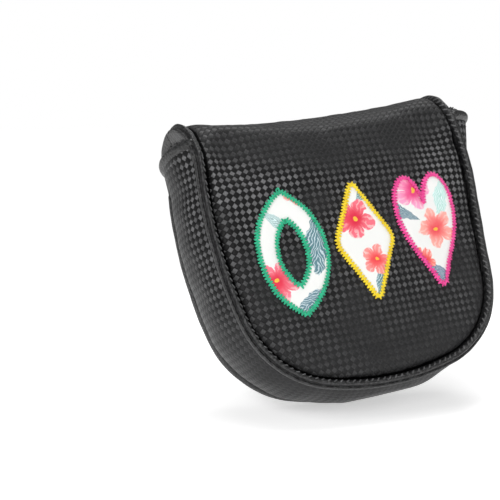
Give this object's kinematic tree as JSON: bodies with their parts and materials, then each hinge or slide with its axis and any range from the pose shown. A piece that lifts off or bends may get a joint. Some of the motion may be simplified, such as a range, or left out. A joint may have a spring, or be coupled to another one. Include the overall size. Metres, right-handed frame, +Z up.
{
  "type": "putter head cover",
  "caption": "Padded pouch cover for a mallet putter head, with a shaft opening at the back and a fold-over tongued flap that closes by hidden magnets.",
  "frame": {"origin": "centre of the bounding box in X and Y, at the lowest point of the gusset", "axes": "+X heel to toe along the width, front panel faces -Y, flap and shaft opening face +Y, +Z up"},
  "size_m": [0.1328, 0.047, 0.117],
  "materials": {
    "weave_leather": "black synthetic leather embossed with a fine diagonal weave",
    "binding": "smooth black synthetic leather binding, satin",
    "foam": "grey foam interlining, hidden",
    "fleece": "black brushed fleece",
    "magnet": "nickel-plated disc magnet, hidden",
    "printed_cloth": "white cloth printed with flowers and leaves",
    "thread_green": "satin-stitched green thread",
    "thread_yellow": "satin-stitched yellow thread",
    "thread_pink": "satin-stitched pink thread"
  },
  "bodies": {
    "pocket": {"back_foam_pad": "foam", "back_lining": "fleece", "back_magnet_heel": "magnet", "back_magnet_toe": "magnet", "back_outer_panel": "weave_leather", "back_seam_binding": "binding", "back_top_binding": "binding", "emblem_border_diamond": "thread_yellow", "emblem_border_heart": "thread_pink", "emblem_border_leaf": "thread_green", "emblem_cloth_diamond": "printed_cloth", "emblem_cloth_heart": "printed_cloth", "emblem_cloth_leaf": "printed_cloth", "front_foam_pad": "foam", "front_lining": "fleece", "front_outer_panel": "weave_leather", "front_seam_binding": "binding", "gusset_foam": "foam", "gusset_lining": "fleece", "gusset_outer": "weave_leather", "gusset_top_binding_heel": "binding", "gusset_top_binding_toe": "binding"},
    "crown": {"crown_edge_binding_heel": "binding", "crown_edge_binding_toe": "binding", "crown_foam": "foam", "crown_lining": "fleece", "crown_outer": "weave_leather"},
    "flap": {"flap_edge_binding": "binding", "flap_foam": "foam", "flap_lining": "fleece", "flap_magnet_heel": "magnet", "flap_magnet_toe": "magnet", "flap_outer": "weave_leather"}
  },
  "joints": [
    {"name": "crown_fold", "type": "hinge", "parent": "pocket", "child": "crown", "pos_m": [0, -0.02236, 0.10164], "axis": [1, 0, 0], "range_deg": [0, 85]},
    {"name": "flap_fold", "type": "hinge", "parent": "crown", "child": "flap", "pos_m": [0, 0.02157, 0.10356], "axis": [1, 0, 0], "range_deg": [0, 95]}
  ]
}
